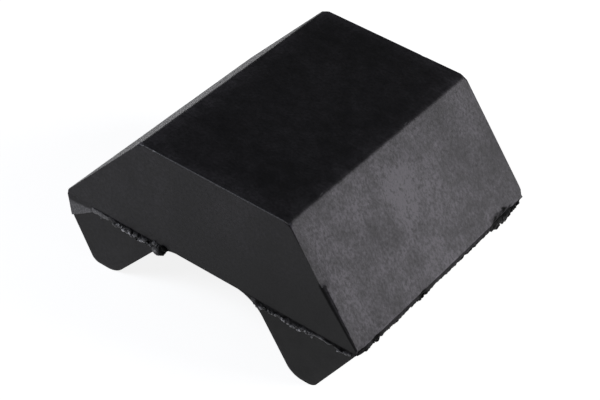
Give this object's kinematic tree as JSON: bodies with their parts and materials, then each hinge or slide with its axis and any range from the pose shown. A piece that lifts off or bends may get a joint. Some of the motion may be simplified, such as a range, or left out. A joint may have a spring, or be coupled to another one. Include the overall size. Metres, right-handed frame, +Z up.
{
  "type": "rubber speed bump",
  "caption": "Moulded black rubber bump block with sloping flanks and a flat top, on tapered foot ribs with an open channel between them and torn mould flash round the parting line.",
  "frame": {"origin": "on the ground under the middle of the block, at the bottom centre of the bounding box", "axes": "+X across the bump, the way a wheel crosses it; +Y along the bump, from the front end to the back end; +Z up"},
  "size_m": [0.167, 0.144, 0.085],
  "materials": {
    "hump_rubber": "compression moulded, satin with a fine suede grain",
    "foot_rubber": "compression moulded, satin",
    "flash_rubber": "torn, crumbly and matt, with greyer smooth skins"
  },
  "bodies": {
    "root": {"hump_block": "hump_rubber", "left_foot": "foot_rubber", "right_foot": "foot_rubber", "front_left_flash": "flash_rubber", "front_right_flash": "flash_rubber", "back_left_flash": "flash_rubber", "back_right_flash": "flash_rubber", "left_side_flash": "flash_rubber", "right_side_flash": "flash_rubber", "torn_corner_flash": "flash_rubber", "curled_root_flash": "flash_rubber", "corner_flap": "flash_rubber"}
  },
  "joints": []
}
